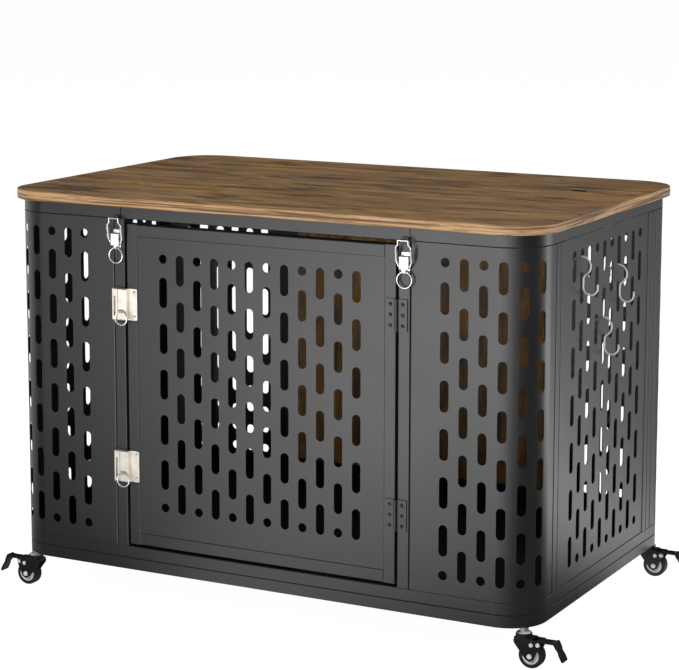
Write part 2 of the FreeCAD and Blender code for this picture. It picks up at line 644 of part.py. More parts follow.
housings = []
strikes = []
for z in LATCH_Z.values():
    housings += [slam_housing(z)] + slam_rivets(z)
    strikes.append(strike(z))
save("slam_latch_housings", housings)
save("strike_plates", strikes)
for name, z in LATCH_Z.items():
    save("slam_bolt_" + name, [slam_bolt(z)])
    save("pull_ring_" + name, [ring((LUG_X, out(LUG_OUT), z - LUG_DROP - SLAM_RING_R), SLAM_RING_R, RING_WIRE)])

# ---------------------------------------------------------------- toggle latches for the lid
# A base on the door post carries a lever; a sprung wire bail on the lever reaches up to a hooked
# keeper on the rim. The bails are modelled swung just clear of the keepers.
TOGGLE_X = 261.5
PIVOT_Z = Z_RIM - 25.0     # lever pivot
PIVOT_OUT = 5.0
BAIL_DROP = 14.0           # bail pivot below the lever pivot
BAIL_OUT = 6.5
BAIL_TILT = 8.0            # degrees, outward
TOGGLE_PIN_R = 1.3
BAIL_WIRE = 1.2
SPRING_WIRE = 0.7
SPRING_U = 12.7            # springs either side of the lever
NECK_U = 8.8
BAIL_H = 41.0
SPRING_LOW = 9.0
SPRING_HIGH = 28.0
LEVER_U = 7.5
CHEEK_T = 1.5
TAIL_DROP = 22.5           # ring axis below the lever pivot
TAIL_OUT = 6.2
TOGGLE_RING_R = 12.5
EAR_IN = 4.2
EAR_OUT = EAR_IN + CHEEK_T


def toggle_base(x):
    plate = box(x - 7, out(1.5), PIVOT_Z - 23, x + 7, out(0), PIVOT_Z + 7)
    parts = [rod((x - LEVER_U, out(PIVOT_OUT), PIVOT_Z), (x + LEVER_U, out(PIVOT_OUT), PIVOT_Z), TOGGLE_PIN_R)]
    for s in (-1, 1):
        u0, u1 = sorted((x + s * EAR_IN, x + s * EAR_OUT))
        parts.append(rod((u0, out(PIVOT_OUT), PIVOT_Z), (u1, out(PIVOT_OUT), PIVOT_Z), 2.3))
        parts.append(box(u0, out(PIVOT_OUT), PIVOT_Z - 1.5, u1, out(1), PIVOT_Z + 1.5))
    return plate.fuse(parts).removeSplitter()


def toggle_lever(x):
    front = PIVOT_OUT + 4.0
    plate = box(x - LEVER_U, out(front), PIVOT_Z - 18, x + LEVER_U, out(front - 1.5), PIVOT_Z + 0.5)
    parts = []
    for s in (-1, 1):
        u0, u1 = sorted((x + s * (LEVER_U - CHEEK_T), x + s * LEVER_U))
        parts.append(box(u0, out(front - 0.5), PIVOT_Z - 18, u1, out(3.2), PIVOT_Z + 0.5))
        parts.append(rod((u0, out(PIVOT_OUT), PIVOT_Z), (u1, out(PIVOT_OUT), PIVOT_Z), 2.3))
    tail_z = PIVOT_Z - TAIL_DROP
    parts.append(box(x - LUG_HALF_T, out(front), tail_z, x + LUG_HALF_T, out(TAIL_OUT - 2.8), PIVOT_Z - 17))
    parts.append(rod((x - LUG_HALF_T, out(TAIL_OUT), tail_z), (x + LUG_HALF_T, out(TAIL_OUT), tail_z), 2.8))
    lever = plate.fuse(parts)
    holes = [
        rod((x - 9, out(PIVOT_OUT), PIVOT_Z), (x + 9, out(PIVOT_OUT), PIVOT_Z), TOGGLE_PIN_R + FIT),
        rod((x - 9, out(BAIL_OUT), PIVOT_Z - BAIL_DROP), (x + 9, out(BAIL_OUT), PIVOT_Z - BAIL_DROP),
            BAIL_WIRE + FIT),
        rod((x - 5, out(TAIL_OUT), tail_z), (x + 5, out(TAIL_OUT), tail_z), EYE_R),
    ]
    return lever.cut(Part.makeCompound(holes)).removeSplitter()


def toggle_bail(x):
    """Wire bail with a coil spring round each leg, tilted outward about its lower ends."""
    y = out(BAIL_OUT)
    z = PIVOT_Z - BAIL_DROP
    path = []
    for s in (-1, 1):
        leg = [(x + s * 6.2, y, z), (x + s * 9.6, y, z), (x + s * SPRING_U, y, z + SPRING_LOW - 2),
               (x + s * SPRING_U, y, z + SPRING_HIGH + 2), (x + s * NECK_U, y, z + SPRING_HIGH + 6),
               (x + s * NECK_U, y, z + BAIL_H)]
        path += leg if s < 0 else leg[::-1]
    solids = [bent_wire(path, BAIL_WIRE)]
    pitch = 2 * SPRING_WIRE + 0.1
    coils = int((SPRING_HIGH - SPRING_LOW) / pitch)
    for s in (-1, 1):
        for k in range(coils):
            centre = (x + s * SPRING_U, y, z + SPRING_LOW + pitch * (k + 0.5))
            solids.append(ring(centre, BAIL_WIRE + SPRING_WIRE + 0.05, SPRING_WIRE, (0, 0, 1)))
    for solid in solids:
        solid.rotate(Vector(x, y, z), Vector(1, 0, 0), BAIL_TILT)
    return solids


def rim_keeper(x):
    outline = [(0, 1), (0, TUBE - 0.5), (1.5, TUBE - 0.5), (1.5, 2.5), (5, 2.5), (5, 5.5), (6.5, 5.5), (6.5, 1)]
    points = [(x - 6.5, out(o), Z_RIM + dz) for o, dz in outline]
    return prism(points, (13, 0, 0))


bases = []
keepers = []
for name, sx in (("left", -1), ("right", 1)):
    x = sx * TOGGLE_X
    bases.append(toggle_base(x))
    keepers.append(rim_keeper(x))
    save("toggle_lever_" + name, [toggle_lever(x)])
    save("toggle_bail_" + name, toggle_bail(x))
    ring_z = PIVOT_Z - TAIL_DROP - TOGGLE_RING_R
    save("toggle_ring_" + name, [ring((x, out(TAIL_OUT), ring_z), TOGGLE_RING_R, RING_WIRE)])
save("toggle_bases", bases)
save("rim_keepers", keepers)

# ---------------------------------------------------------------- swivel casters with brakes
WHEEL_R = 20.0
WHEEL_HALF = 8.5
HUB_R = 14.0
AXLE_R = 2.5
TRAIL = 14.0               # wheel axle behind the swivel axis
CHEEK_IN = 9.2
CHEEK_OUT = 12.0
CROWN_LOW = 43.8
CROWN_TOP = 47.5
RACE_TOP = 54.0
RACE_R = 13.0
NUT_AF = 13.0
BRAKE_T = 25.0             # brake pivot behind the swivel axis
BRAKE_Z = 42.5
BRAKE_PIN_R = 1.5
BRAKE_PLATE = 3.0


def caster_stem(x, y):
    """Threaded stem with a riveted foot, and the nut that locks it under the frame."""
    stem = rod((x, y, 41.2), (x, y, 43.4), 6.0).fuse(rod((x, y, 43.4), (x, y, Z_BASE + 16), STEM_R))
    radius = NUT_AF / math.sqrt(3)
    corners = [Vector(x + radius * math.cos(math.radians(a)), y + radius * math.sin(math.radians(a)),
                      Z_BASE - 6.5) for a in range(0, 361, 60)]
    nut = Part.Face(Part.makePolygon(corners)).extrude(Vector(0, 0, 6.5))
    return [stem.removeSplitter(), nut.cut(rod((x, y, 50), (x, y, 70), STEM_R + FIT))]


def caster_fork():
    """Crown, bearing race and two cheeks, about a swivel axis through the origin, trailing to +X."""
    crown = box(-13, -CHEEK_OUT, CROWN_LOW, 18, CHEEK_OUT, CROWN_TOP)
    crown = crown.makeFillet(3, [e for e in crown.Edges if e.BoundBox.ZLength > 1 and e.BoundBox.XMax < 0])
    race = rod((0, 0, CROWN_TOP), (0, 0, RACE_TOP), RACE_R)
    race = race.makeFillet(2, [e for e in race.Edges if e.BoundBox.ZMin > RACE_TOP - 0.1])
    bore = rod((0, 0, 40), (0, 0, 60), STEM_R + FIT)
    solids = [crown.cut(bore), race.cut(bore)]
    profile = [(-13, CROWN_LOW), (-12, 39), (7, 15), (14, 12), (21, 15), (24, 24), (31, 37), (31, 46),
               (18, 46), (18, CROWN_LOW)]
    holes = [rod((TRAIL, -20, WHEEL_R), (TRAIL, 20, WHEEL_R), AXLE_R + FIT),
             rod((BRAKE_T, -20, BRAKE_Z), (BRAKE_T, 20, BRAKE_Z), BRAKE_PIN_R + FIT)]
    for s in (-1, 1):
        y0, y1 = sorted((s * CHEEK_IN, s * CHEEK_OUT))
        cheek = prism([(t, y0, z) for t, z in profile], (0, y1 - y0, 0))
        rounded = [e for e in cheek.Edges if e.BoundBox.YLength > 1 and e.BoundBox.ZMax < CROWN_LOW - 1]
        cheek = cheek.makeFillet(2.5, rounded)
        solids.append(cheek.cut(Part.makeCompound(holes)))
    return solids


def caster_wheel():
    """Hub with a dished face each side, and the riveted axle."""
    hub = rod((TRAIL, -WHEEL_HALF + 1, WHEEL_R), (TRAIL, WHEEL_HALF - 1, WHEEL_R), HUB_R - 0.05)
    for s in (-1, 1):
        face = s * (WHEEL_HALF - 1)
        dish = rod((TRAIL, face, WHEEL_R), (TRAIL, face - s * 2.5, WHEEL_R), 11.0)
        boss = rod((TRAIL, face, WHEEL_R), (TRAIL, face - s * 2.5, WHEEL_R), 5.0)
        hub = hub.cut(dish.cut(boss))
    hub = hub.cut(rod((TRAIL, -10, WHEEL_R), (TRAIL, 10, WHEEL_R), AXLE_R + 0.05))
    end = CHEEK_OUT + 0.2
    axle = rod((TRAIL, -end, WHEEL_R), (TRAIL, end, WHEEL_R), AXLE_R)
    for s in (-1, 1):
        head = Part.makeSphere(4.2, Vector(TRAIL, s * (end - 2.2), WHEEL_R))
        y0, y1 = sorted((s * end, s * (end + 4)))
        axle = axle.fuse(head.common(box(TRAIL - 6, y0, WHEEL_R - 6, TRAIL + 6, y1, WHEEL_R + 6)))
    return [hub, axle.removeSplitter()]


def caster_tyre():
    tyre = rod((TRAIL, -WHEEL_HALF, WHEEL_R), (TRAIL, WHEEL_HALF, WHEEL_R), WHEEL_R)
    tyre = tyre.makeFillet(2.5, [e for e in tyre.Edges if e.BoundBox.YLength < 0.1])
    return [tyre.cut(rod((TRAIL, -10, WHEEL_R), (TRAIL, 10, WHEEL_R), HUB_R))]


def caster_brake():
    """Pedal of folded plate: a top arm between the cheeks and a foot flap, with waisted sides."""
    t = BRAKE_PLATE
    profile = [(20.5, 41.4), (20.5, 43.6), (24, 45.8), (50, 45.8), (55, 47.5), (69, 19), (68, 17), (65.5, 17),
               (51.5, 45.8 - t), (30, 45.8 - t), (28, 40.6)]
    pedal = prism([(x, -8.5, z) for x, z in profile], (0, 17, 0))
    for s in (-1, 1):
        waist = rod((52, s * 14.5, 30), (70, s * 14.5, 36), 8.0)
        pedal = pedal.cut(waist)
    pin = rod((BRAKE_T, -CHEEK_OUT + 0.5, BRAKE_Z), (BRAKE_T, CHEEK_OUT - 0.5, BRAKE_Z), BRAKE_PIN_R)
    return [pedal.fuse(pin).removeSplitter()]


stems = []
for name, (sx, sy) in CASTERS.items():
    x = sx * CASTER_X
    y = sy * CASTER_Y
    stems += caster_stem(x, y)
    pieces = {"fork": caster_fork(), "wheel": caster_wheel(), "tyre": caster_tyre(), "brake": caster_brake()}
    for piece, solids in pieces.items():
        for solid in solids:
            if sx < 0:
                solid.rotate(Vector(), Vector(0, 0, 1), 180)
            solid.translate(Vector(x, y, 0))
        save("caster_" + piece + "_" + name, solids)
save("caster_stems", stems)

# ---------------------------------------------------------------- S-hooks hung in the right side panel
HOOK_WIRE = 1.5
HOOK_R = 15.0              # upper hook
CRADLE_R = 12.0            # lower hook
CRADLE_X = 15.0            # middle of the lower hook in front of the panel
CRADLE_DROP = 33.0
HOOK_LIFT = 0.6            # wire above the edge it hangs on
side_y = [y for _, y in side_columns()]
slot_edge = Z_RIM - WALL_FIRST - SLOT_L / 2
HOOKS = {
    "front": (side_y[1], Z_RIM - WALL_HOLE - SLOT_W / 2),
    "middle": (side_y[4], slot_edge - SLOT_PITCH),
    "back": (side_y[6], slot_edge),
}


def s_hook(y, edge):
    """Wire hook in an XZ plane: over the slot's lower edge, then down to a cradle outside."""
    sheet_x = HALF_W - PANEL_RECESS - SHEET / 2
    top = edge + HOOK_LIFT + HOOK_WIRE - HOOK_R

    def at(dx, dz):
        return Vector(sheet_x + dx, y, top + dz)

    def on(cx, cz, radius, angle):
        return at(cx + radius * math.cos(math.radians(angle)), cz + radius * math.sin(math.radians(angle)))

    elbow = 2 * (HOOK_R * math.cos(math.radians(60)) - CRADLE_X + CRADLE_R)
    ex = HOOK_R * math.cos(math.radians(60)) + elbow * math.cos(math.radians(60))
    ez = -(HOOK_R + elbow) * math.sin(math.radians(60))
    left = CRADLE_X - CRADLE_R
    edges = [
        Part.Arc(on(0, 0, HOOK_R, 200), on(0, 0, HOOK_R, 90), on(0, 0, HOOK_R, -60)).toShape(),
        Part.Arc(on(0, 0, HOOK_R, -60), on(ex, ez, elbow, 150), at(left, ez)).toShape(),
        Part.makeLine(at(left, ez), at(left, -CRADLE_DROP)),
        Part.Arc(at(left, -CRADLE_DROP), at(CRADLE_X, -CRADLE_DROP - CRADLE_R),
                 at(CRADLE_X + CRADLE_R, -CRADLE_DROP)).toShape(),
        Part.makeLine(at(CRADLE_X + CRADLE_R, -CRADLE_DROP), at(CRADLE_X + CRADLE_R, 5 - CRADLE_DROP)),
    ]
    spine = Part.Wire(edges)
    start = edges[0].valueAt(edges[0].FirstParameter)
    tangent = edges[0].tangentAt(edges[0].FirstParameter)
    profile = Part.Wire([Part.makeCircle(HOOK_WIRE, start, tangent)])
    return spine.makePipeShell([profile], True, False)


for name, (y, edge) in HOOKS.items():
    save("hook_" + name, [s_hook(y, edge)])
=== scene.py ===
import bpy
import json
import math
from mathutils import Matrix, Vector


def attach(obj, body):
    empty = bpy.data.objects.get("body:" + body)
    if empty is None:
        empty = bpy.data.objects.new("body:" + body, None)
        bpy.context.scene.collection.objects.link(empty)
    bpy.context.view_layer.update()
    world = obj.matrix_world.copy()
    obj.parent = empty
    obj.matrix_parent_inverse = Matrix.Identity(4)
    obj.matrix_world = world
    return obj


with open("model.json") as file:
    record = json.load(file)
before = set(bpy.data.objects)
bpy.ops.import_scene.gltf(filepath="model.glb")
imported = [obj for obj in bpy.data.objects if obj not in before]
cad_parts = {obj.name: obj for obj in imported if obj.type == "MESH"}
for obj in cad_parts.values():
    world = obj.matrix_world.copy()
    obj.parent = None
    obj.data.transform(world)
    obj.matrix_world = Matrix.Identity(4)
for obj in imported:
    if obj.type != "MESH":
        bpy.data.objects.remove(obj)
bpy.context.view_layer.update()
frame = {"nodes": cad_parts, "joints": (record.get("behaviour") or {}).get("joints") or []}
nodes = frame["nodes"]

# ---------------------------------------------------------------- camera
# A long lens, dipped slightly, standing to the right of the crate's front and above its table top.
# It is raised a little on its mount, so that the uprights stay nearly parallel.
CAMERA_PLACE = (1.7671, -3.3836, 1.1557)
CAMERA_PAN = math.radians(27.72)
CAMERA_DIP = math.radians(9.054)
CAMERA_ROLL = math.radians(0.073)
CAMERA_SENSOR = 36.0
CAMERA_LENS = 120.86
CAMERA_SHIFT = -0.1
camera_data = bpy.data.cameras.new("camera")
camera_data.sensor_width = CAMERA_SENSOR
camera_data.lens = CAMERA_LENS
camera_data.shift_y = CAMERA_SHIFT
camera = bpy.data.objects.new("camera", camera_data)
bpy.context.scene.collection.objects.link(camera)
camera.location = CAMERA_PLACE
turn = Matrix.Rotation(CAMERA_PAN, 4, "Z") @ Matrix.Rotation(math.pi / 2 - CAMERA_DIP, 4, "X")
camera.rotation_euler = (turn @ Matrix.Rotation(CAMERA_ROLL, 4, "Z")).to_euler()
bpy.context.scene.camera = camera
bpy.context.scene.view_settings.view_transform = "Standard"

# ---------------------------------------------------------------- floor and studio light
# A plain pale floor under a white studio dome. Round the crate stand tall white and dark panels, which
# only its glossy faces show;
# for glossy rays the floor glows with a painted reflection of them, with painted shade near the crate.
# Soft lamps hang over it on the left, in front and on the right.
FLOOR_RADIUS = 45.0
FLOOR_WHITE = 0.30
FLOOR_GLOW = 0.98
FLOOR_SHADE_REACH = (0.5, 2.4)    # from here to here the floor, as glossy rays see it, goes from painted shade to fully lit panels
FLOOR_SHADE_LEVEL = (0.30, 1.05)
DOME_LEVEL = 0.55          # light from the dome on matt surfaces


def add_node(tree, kind, **settings):
    """A shader node, with its sockets or properties set by name."""
    made = tree.nodes.new("ShaderNode" + kind)
    for name, value in settings.items():
        socket = made.inputs.get(name.replace("_", " "))
        if socket is None:
            setattr(made, name, value)
        else:
            socket.default_value = value
    return made


def new_material(name):
    """A new material, its node tree and its Principled shader."""
    material = bpy.data.materials.new(name)
    material.use_nodes = True
    return material, material.node_tree, material.node_tree.nodes["Principled BSDF"]


def remap(tree, source, low, high, to_low=0.0, to_high=1.0):
    """Maps a value from one range to another, clamped; returns the output socket."""
    mapped = add_node(tree, "MapRange")
    for name, value in (("From Min", low), ("From Max", high), ("To Min", to_low), ("To Max", to_high)):
        mapped.inputs[name].default_value = value
    tree.links.new(source, mapped.inputs["Value"])
    return mapped.outputs[0]


def maths(tree, operation, first, second):
    """A Math node on sockets or plain numbers; returns its output socket."""
    made = add_node(tree, "Math", operation=operation)
    for socket, value in zip(made.inputs, (first, second)):
        if hasattr(value, "links"):
            tree.links.new(value, socket)
        else:
            socket.default_value = value
    return made.outputs[0]


# The ring of panels, by bearing in degrees: 0 is in front of the crate, 90 is on its right.
PANELS = ((-180, 0.55), (-150, 0.50), (-120, 0.60), (-85, 1.20), (-60, 0.22), (-45, 0.10), (-37, 0.25),
          (-30, 2.00), (-22, 3.80), (-8, 4.20), (12, 3.20), (30, 1.30), (46, 0.05), (88, 0.02),
          (108, 0.40), (120, 2.80), (130, 3.40), (138, 1.60), (146, 0.30), (165, 0.20), (180, 0.55))


def panel_light(tree, position):
    """Brightness of the panels in the direction of a position; returns the output socket."""
    split = add_node(tree, "SeparateXYZ")
    tree.links.new(position, split.inputs[0])
    forward = maths(tree, "MULTIPLY", split.outputs["Y"], -1.0)
    bearing = maths(tree, "ARCTAN2", split.outputs["X"], forward)
    ramp = add_node(tree, "ValToRGB")
    ramp.color_ramp.interpolation = "B_SPLINE"
    brightest = max(level for _, level in PANELS)
    while len(ramp.color_ramp.elements) < len(PANELS):
        ramp.color_ramp.elements.new(0.5)
    for element, (degrees, level) in zip(ramp.color_ramp.elements, PANELS):
        element.position = 0.5 + degrees / 360.0
        element.color = (level / brightest, level / brightest, level / brightest, 1)
    tree.links.new(remap(tree, bearing, -math.pi, math.pi), ramp.inputs[0])
    return maths(tree, "MULTIPLY", ramp.outputs[0], brightest)


bpy.ops.object.select_all(action="DESELECT")
bpy.ops.mesh.primitive_circle_add(vertices=96, radius=FLOOR_RADIUS, fill_type="NGON", location=(0, 0, 0))
floor = bpy.context.object
floor.name = "studio_floor"
floor_paint, tree, shader = new_material("floor_white")
shader.inputs["Base Color"].default_value = (FLOOR_WHITE, FLOOR_WHITE, FLOOR_WHITE, 1)
shader.inputs["Roughness"].default_value = 0.9
shader.inputs["Specular IOR Level"].default_value = 0.0
shader.inputs["Emission Color"].default_value = (1, 1, 1, 1)
shader.inputs["Emission Strength"].default_value = FLOOR_GLOW
place = add_node(tree, "TexCoord")
distance = add_node(tree, "VectorMath", operation="LENGTH")
tree.links.new(place.outputs["Object"], distance.inputs[0])
floor_painted_shade = remap(tree, distance.outputs["Value"], *FLOOR_SHADE_REACH, *FLOOR_SHADE_LEVEL)
# Glossy rays see the floor glow: a painted reflection of the panels, with painted shade near the crate.
floor_painted_reflection = add_node(tree, "Emission")
tree.links.new(maths(tree, "MULTIPLY", panel_light(tree, place.outputs["Object"]), floor_painted_shade),
               floor_painted_reflection.inputs["Strength"])
ray = add_node(tree, "LightPath")
either = add_node(tree, "MixShader")
tree.links.new(ray.outputs["Is Glossy Ray"], either.inputs[0])
tree.links.new(shader.outputs[0], either.inputs[1])
tree.links.new(floor_painted_reflection.outputs[0], either.inputs[2])
tree.links.new(either.outputs[0], tree.nodes["Material Output"].inputs["Surface"])
floor.data.materials.append(floor_paint)

SKY_SEEN = 20.0            # lifts the dark grey of a new world to white for the camera
world = bpy.data.worlds.new("studio")
world.use_nodes = True
bpy.context.scene.world = world
sky = world.node_tree
direction = add_node(sky, "TexCoord")
ray = add_node(sky, "LightPath")
level = add_node(sky, "Mix", data_type="FLOAT")
sky.links.new(ray.outputs["Is Glossy Ray"], level.inputs[0])
level.inputs[2].default_value = DOME_LEVEL
sky.links.new(panel_light(sky, direction.outputs["Generated"]), level.inputs[3])
seen = add_node(sky, "Mix", data_type="FLOAT")
sky.links.new(ray.outputs["Is Camera Ray"], seen.inputs[0])
sky.links.new(level.outputs[0], seen.inputs[2])
seen.inputs[3].default_value = SKY_SEEN
sky.links.new(seen.outputs[0], sky.nodes["Background"].inputs["Strength"])

LAMP_AIM = Vector((0, 0, 0.35))
# name, place, size, watts
LAMPS = (
    ("lamp_left", (-2.4, -3.0, 3.2), 2.4, 70.0),
    ("lamp_top", (0.8, -1.2, 4.2), 3.4, 110.0),
    ("lamp_right", (3.6, 1.0, 2.2), 1.8, 22.0),
)
for name, place, side, power in LAMPS:
    lamp_data = bpy.data.lights.new(name, "AREA")
    lamp_data.size = side
    lamp_data.energy = power
    lamp = bpy.data.objects.new(name, lamp_data)
    bpy.context.scene.collection.objects.link(lamp)
    lamp.visible_glossy = False
    lamp.location = place
    lamp.rotation_euler = (LAMP_AIM - Vector(place)).to_track_quat("-Z", "Y").to_euler()

# ---------------------------------------------------------------- powder-coated steel
# The frame tubes, posts, perforated panels, door and hinges are welded from mild steel and sprayed
# together in a charcoal powder coat: satin and faintly dimpled, its edges painted a little paler as a
# painted highlight.
COAT_NODES = [n for n in nodes if n.endswith(("_frame", "_posts", "_rails", "_leaves", "_keepers"))
              or n.startswith(("corner_panel", "side_panel", "door_panel"))]


def new_group(name, inputs, outputs):
    """A shader node group, with its input and output nodes."""
    group = bpy.data.node_groups.new(name, "ShaderNodeTree")
    for label, kind, value in inputs:
        socket = group.interface.new_socket(label, in_out="INPUT", socket_type="NodeSocket" + kind)
        if value is not None:
            socket.default_value = value
    for label, kind in outputs:
        group.interface.new_socket(label, in_out="OUTPUT", socket_type="NodeSocket" + kind)
    return group, group.nodes.new("NodeGroupInput"), group.nodes.new("NodeGroupOutput")


def place_group(tree, group, **values):
    """Places a group in a tree, with its inputs set by name."""
    placed = tree.nodes.new("ShaderNodeGroup")
    placed.node_tree = group
    for name, value in values.items():
        placed.inputs[name.replace("_", " ")].default_value = value
    return placed


# Painted edge highlight: 1 on sharp outer edges, 0 on flats, broken up by noise.
painted_edge_highlight, highlight_in, highlight_out = new_group(
    "painted_edge_highlight", [("Width", "Float", 0.0012), ("Breakup", "Float", 180.0)], [("Mask", "Float")])
rounded = add_node(painted_edge_highlight, "Bevel", samples=4)
painted_edge_highlight.links.new(highlight_in.outputs["Width"], rounded.inputs["Radius"])
flat = add_node(painted_edge_highlight, "NewGeometry")
agree = add_node(painted_edge_highlight, "VectorMath", operation="DOT_PRODUCT")
painted_edge_highlight.links.new(rounded.outputs[0], agree.inputs[0])
painted_edge_highlight.links.new(flat.outputs["True Normal"], agree.inputs[1])
edge = remap(painted_edge_highlight, agree.outputs["Value"], 0.995, 0.86)
here = add_node(painted_edge_highlight, "TexCoord")
highlight_breakup = add_node(painted_edge_highlight, "TexNoise", Detail=3.0)
painted_edge_highlight.links.new(here.outputs["Object"], highlight_breakup.inputs["Vector"])
painted_edge_highlight.links.new(highlight_in.outputs["Breakup"], highlight_breakup.inputs["Scale"])
broken_highlight = maths(painted_edge_highlight, "MULTIPLY", edge, remap(painted_edge_highlight, highlight_breakup.outputs[0], 0.35, 0.65))
painted_edge_highlight.links.new(broken_highlight, highlight_out.inputs["Mask"])

# Sprayed coat: orange-peel height, and slow patchy changes of tone and gloss.
coat_skin, skin_in, skin_out = new_group(
    "coat_skin", [("Peel size", "Float", 620.0), ("Patch size", "Float", 5.0)],
    [("Height", "Float"), ("Patch", "Float")])
here = add_node(coat_skin, "TexCoord")
peel = add_node(coat_skin, "TexNoise", Detail=2.0, Roughness=0.6)
coat_skin.links.new(here.outputs["Object"], peel.inputs["Vector"])
coat_skin.links.new(skin_in.outputs["Peel size"], peel.inputs["Scale"])
coat_skin.links.new(peel.outputs[0], skin_out.inputs["Height"])
patch = add_node(coat_skin, "TexNoise", Detail=4.0, Roughness=0.55)
coat_skin.links.new(here.outputs["Object"], patch.inputs["Vector"])
coat_skin.links.new(skin_in.outputs["Patch size"], patch.inputs["Scale"])
coat_skin.links.new(patch.outputs[0], skin_out.inputs["Patch"])


def mix_colours(tree, mask, low, high):
    """Colour between two fixed or linked colours by a mask; returns its output socket."""
    mixer = add_node(tree, "Mix", data_type="RGBA")
    tree.links.new(mask, mixer.inputs[0])
    for socket, colour in ((mixer.inputs[6], low), (mixer.inputs[7], high)):
        if hasattr(colour, "links"):
            tree.links.new(colour, socket)
        else:
            socket.default_value = (*colour, 1)
    return mixer.outputs[2]


def bump(tree, shader, height, distance, strength=1.0):
    """Turns a height into the shader's normal."""
    lift = add_node(tree, "Bump", Strength=strength, Distance=distance)
    tree.links.new(height, lift.inputs["Height"])
    tree.links.new(lift.outputs[0], shader.inputs["Normal"])


COAT_SPECULAR = 0.6
EDGE_HIGHLIGHT_MOST = 0.55           # how far an edge is painted towards the pale highlight tone


def painted(name, dark, light, highlight_tone, gloss, peel_depth):
    """Sprayed steel: two close tones, a pale tone painted on edges as a highlight, and a range of
    roughness.
    """
    material, tree, shader = new_material(name)
    skin = place_group(tree, coat_skin)
    edge_highlight = place_group(tree, painted_edge_highlight)
    tone = mix_colours(tree, remap(tree, skin.outputs["Patch"], 0.35, 0.65), dark, light)
    painted_highlight_mask = remap(tree, edge_highlight.outputs["Mask"], 0.0, 1.0, 0.0, EDGE_HIGHLIGHT_MOST)
    tree.links.new(mix_colours(tree, painted_highlight_mask, tone, highlight_tone), shader.inputs["Base Color"])
    tree.links.new(remap(tree, skin.outputs["Patch"], 0.3, 0.7, *gloss), shader.inputs["Roughness"])
    bump(tree, shader, skin.outputs["Height"], peel_depth)
    shader.inputs["Specular IOR Level"].default_value = COAT_SPECULAR
    return material


# The third tone, a pale grey, is the painted edge highlight.
powder_coat = painted("charcoal_powder_coat", (0.016, 0.0162, 0.017), (0.020, 0.0202, 0.021),
                      (0.10, 0.10, 0.103), (0.27, 0.33), 0.00004)


def finish_nodes(names, material):
    """Puts a material in every slot of the named CAD nodes."""
    for name in names:
        slots = nodes[name].data.materials
        if not slots:
            slots.append(material)
        for i in range(len(slots)):
            slots[i] = material


finish_nodes(COAT_NODES, powder_coat)

# ---------------------------------------------------------------- floor tray
# A pan folded from one sheet and coated matt black inside, where paws scuff it.
# It drops in between the sill tubes and rests on the crossbars.
# Its pale third tone is the painted edge highlight too.
tray_black = painted("tray_black", (0.016, 0.016, 0.017), (0.026, 0.026, 0.027), (0.10, 0.10, 0.10),
                     (0.50, 0.68), 0.0001)
finish_nodes(["floor_tray"], tray_black)

# ---------------------------------------------------------------- wood-look boards
# The table top is a 16 mm board faced with rustic brown wood-grain laminate, its rim banded in a
# striped strip. The board in the back is faced the same way, with the grain upright.
EDGE_STRIPES = 380.0
BACK_PAINTED_LIGHT = 2.1         # painted light: the back board is painted lighter, in a stronger tone, for the dim light inside the crate
BACK_STRONGER = 1.12
GRAIN_DEPTH = 0.00025
GRAIN_STRENGTH = 0.7

rustic, rustic_in, rustic_out = new_group(
    "rustic_grain", [("Along the grain", "Vector", None)],
    [("Color", "Color"), ("Height", "Float"), ("Roughness", "Float")])


def streaks(tree, source, stretch, scale, detail, roughness, warp):
    """Noise drawn out along X; returns its value socket."""
    squeeze = add_node(tree, "Mapping", Scale=stretch)
    tree.links.new(source, squeeze.inputs["Vector"])
    noise = add_node(tree, "TexNoise", Scale=scale, Detail=detail, Roughness=roughness, Distortion=warp)
    tree.links.new(squeeze.outputs[0], noise.inputs["Vector"])
    return noise.outputs[0]


grain_place = rustic_in.outputs[0]
planks = streaks(rustic, grain_place, (1.0, 4.5, 4.5), 3.2, 4.0, 0.58, 0.35)
bands = streaks(rustic, grain_place, (1.0, 6.5, 6.5), 6.0, 7.0, 0.66, 0.45)
fibres = streaks(rustic, grain_place, (1.0, 15.0, 15.0), 24.0, 6.0, 0.72, 0.5)
smoke = streaks(rustic, grain_place, (1.0, 4.0, 4.0), 6.5, 6.0, 0.68, 0.6)
saw = streaks(rustic, grain_place, (6.0, 1.0, 1.0), 16.0, 4.0, 0.6, 0.3)
glow = streaks(rustic, grain_place, (1.0, 4.5, 4.5), 3.4, 4.0, 0.6, 0.4)
body = mix_colours(rustic, remap(rustic, bands, 0.34, 0.66), (0.190, 0.112, 0.057), (0.50, 0.300, 0.140))
body = mix_colours(rustic, remap(rustic, planks, 0.40, 0.62, 0.0, 0.55), body, (0.150, 0.104, 0.070))
body = mix_colours(rustic, remap(rustic, glow, 0.54, 0.68, 0.0, 0.80), body, (0.50, 0.255, 0.075))
body = mix_colours(rustic, remap(rustic, fibres, 0.44, 0.64, 0.0, 0.55), body, (0.085, 0.055, 0.033))
body = mix_colours(rustic, remap(rustic, smoke, 0.52, 0.63, 0.0, 0.80), body, (0.060, 0.044, 0.033))
body = mix_colours(rustic, remap(rustic, saw, 0.62, 0.74, 0.0, 0.35), body, (0.050, 0.034, 0.024))
rustic.links.new(body, rustic_out.inputs["Color"])
rustic.links.new(fibres, rustic_out.inputs["Height"])
rustic.links.new(remap(rustic, bands, 0.3, 0.7, 0.50, 0.38), rustic_out.inputs["Roughness"])


def board_material(name, turned):
    """Laminate board without its colour; turned is the rotation that lays the grain along X."""
    material, tree, shader = new_material(name)
    here = add_node(tree, "TexCoord")
    lay = add_node(tree, "Mapping", Rotation=turned)
    tree.links.new(here.outputs["Object"], lay.inputs["Vector"])
    grain = place_group(tree, rustic)
    tree.links.new(lay.outputs[0], grain.inputs[0])
    tree.links.new(grain.outputs["Roughness"], shader.inputs["Roughness"])
    bump(tree, shader, grain.outputs["Height"], GRAIN_DEPTH, GRAIN_STRENGTH)
    return material, tree, shader, here, grain


